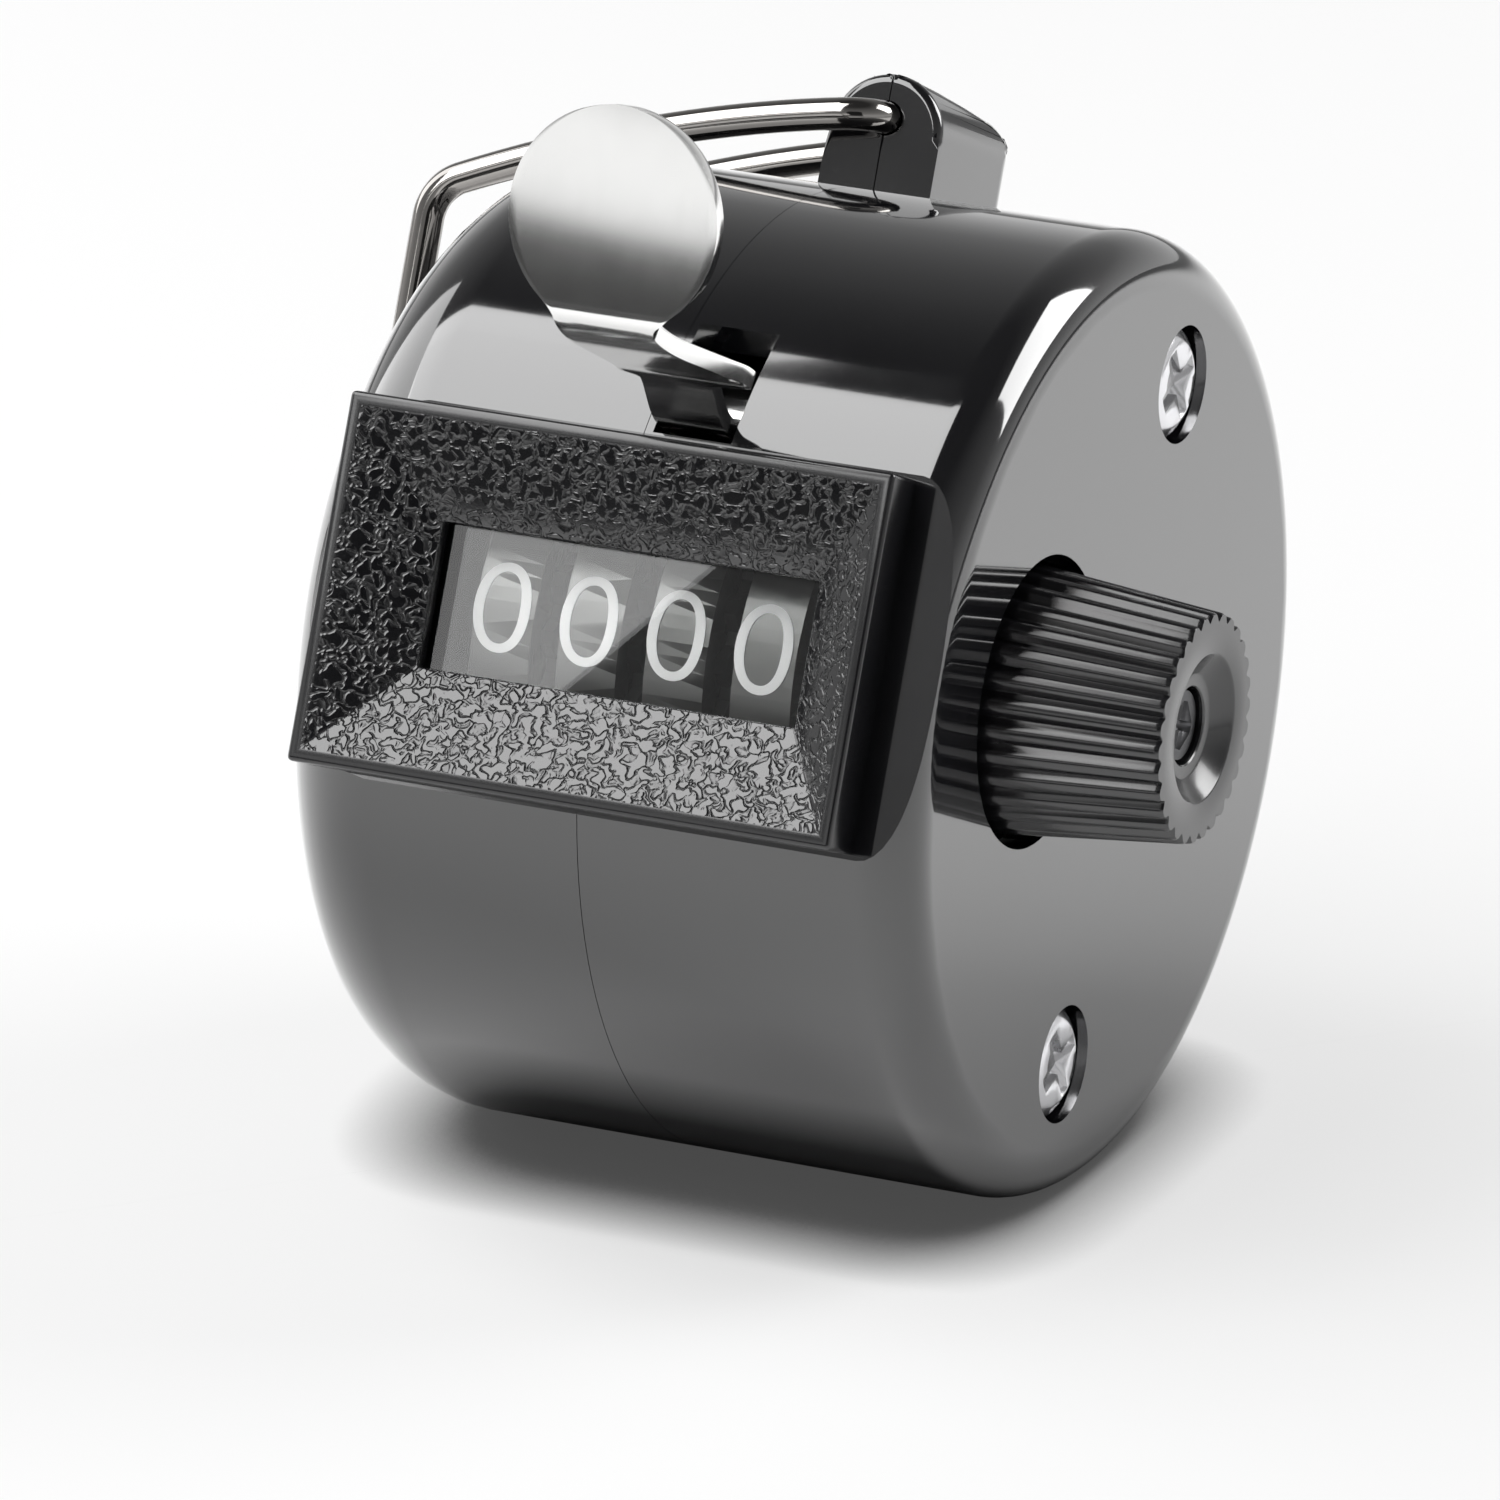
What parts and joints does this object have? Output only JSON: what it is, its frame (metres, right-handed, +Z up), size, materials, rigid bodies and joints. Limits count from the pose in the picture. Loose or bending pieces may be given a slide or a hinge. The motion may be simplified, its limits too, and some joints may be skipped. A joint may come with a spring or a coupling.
{
  "type": "tally counter",
  "caption": "Hand tally counter: round case in two halves, number wheels behind a window, a sprung thumb lever that counts, a fluted reset knob and a hinged finger ring.",
  "frame": {"origin": "centre of the flat on the underside of the case, under the drum's axis and at the seam of its halves", "axes": "+Z up as it stands, +X along the drum towards the reset knob, -Y towards the side that the window faces"},
  "size_m": [0.0458, 0.0462, 0.0552],
  "materials": {
    "case_black": "gloss black moulded plastic",
    "bezel_black": "black plastic with a leather-like grain",
    "lens_clear": "clear moulded pane",
    "lever_steel": "satin plated sheet",
    "ring_chrome": "bright plated wire",
    "screw_steel": "plated screws",
    "knob_screw_dark": "blackened screw",
    "frame_steel": "plain plated sheet and rod",
    "wheel_black": "satin black wheels",
    "gear_brass": "plain brass"
  },
  "bodies": {
    "case": {"left_shell": "case_black", "right_shell": "case_black", "bezel": "bezel_black", "window_lens": "lens_clear", "case_screws": "screw_steel", "lever_pin": "frame_steel", "lever_spring": "frame_steel", "detent_spring": "frame_steel", "frame_plate_left": "frame_steel", "frame_plate_right": "frame_steel", "frame_pillars": "frame_steel", "pinion_shaft": "frame_steel"},
    "ring": {"finger_ring": "ring_chrome"},
    "lever": {"thumb_lever": "lever_steel", "pawl_pin": "frame_steel"},
    "pawl": {"drive_pawl": "frame_steel"},
    "ratchet": {"ratchet_wheel": "gear_brass"},
    "reset_shaft": {"main_shaft": "frame_steel", "shaft_clip": "frame_steel", "reset_knob": "case_black", "knob_screw": "knob_screw_dark"},
    "units": {"units_wheel": "wheel_black"},
    "tens": {"tens_wheel": "wheel_black"},
    "hundreds": {"hundreds_wheel": "wheel_black"},
    "thousands": {"thousands_wheel": "wheel_black"},
    "carry_tens": {"tens_pinion": "gear_brass"},
    "carry_hundreds": {"hundreds_pinion": "gear_brass"},
    "carry_thousands": {"thousands_pinion": "gear_brass"}
  },
  "joints": [
    {"name": "lever_press", "type": "hinge", "parent": "case", "child": "lever", "pos_m": [0, 0.00121, 0.01461], "axis": [-1, 0, 0], "range_deg": [0, 8], "stiffness_Nm_per_rad": 0.4, "springref_deg": -8.59, "deforming": ["lever_spring"]},
    {"name": "pawl_swing", "type": "hinge", "parent": "lever", "child": "pawl", "pos_m": [0, -0.00336, 0.03573], "axis": [-1, 0, 0], "range_deg": [-1, 6]},
    {"name": "ratchet_turn", "type": "hinge", "parent": "case", "child": "ratchet", "pos_m": [0, -0.00822, 0.02538], "axis": [-1, 0, 0], "continuous": true},
    {"name": "knob_turn", "type": "hinge", "parent": "case", "child": "reset_shaft", "pos_m": [0, -0.00822, 0.02538], "axis": [-1, 0, 0], "continuous": true},
    {"name": "units_turn", "type": "hinge", "parent": "reset_shaft", "child": "units", "pos_m": [0, -0.00822, 0.02538], "axis": [-1, 0, 0], "continuous": true},
    {"name": "tens_turn", "type": "hinge", "parent": "reset_shaft", "child": "tens", "pos_m": [0, -0.00822, 0.02538], "axis": [-1, 0, 0], "continuous": true},
    {"name": "hundreds_turn", "type": "hinge", "parent": "reset_shaft", "child": "hundreds", "pos_m": [0, -0.00822, 0.02538], "axis": [-1, 0, 0], "continuous": true},
    {"name": "thousands_turn", "type": "hinge", "parent": "reset_shaft", "child": "thousands", "pos_m": [0, -0.00822, 0.02538], "axis": [-1, 0, 0], "continuous": true},
    {"name": "tens_carry", "type": "hinge", "parent": "case", "child": "carry_tens", "pos_m": [0, 0.00256, 0.02058], "axis": [-1, 0, 0], "continuous": true},
    {"name": "hundreds_carry", "type": "hinge", "parent": "case", "child": "carry_hundreds", "pos_m": [0, 0.00256, 0.02058], "axis": [-1, 0, 0], "continuous": true},
    {"name": "thousands_carry", "type": "hinge", "parent": "case", "child": "carry_thousands", "pos_m": [0, 0.00256, 0.02058], "axis": [-1, 0, 0], "continuous": true},
    {"name": "ring_swing", "type": "hinge", "parent": "case", "child": "ring", "pos_m": [0, 0.01453, 0.04305], "axis": [0, 0.9135, -0.4067], "range_deg": [0, 200]}
  ],
  "couplings": [
    {"joint": "ratchet_turn", "follows": "lever_press", "ratio": 4.5},
    {"joint": "pawl_swing", "follows": "lever_press", "ratio": 0.195},
    {"joint": "units_turn", "follows": "lever_press", "ratio": 4.5}
  ]
}
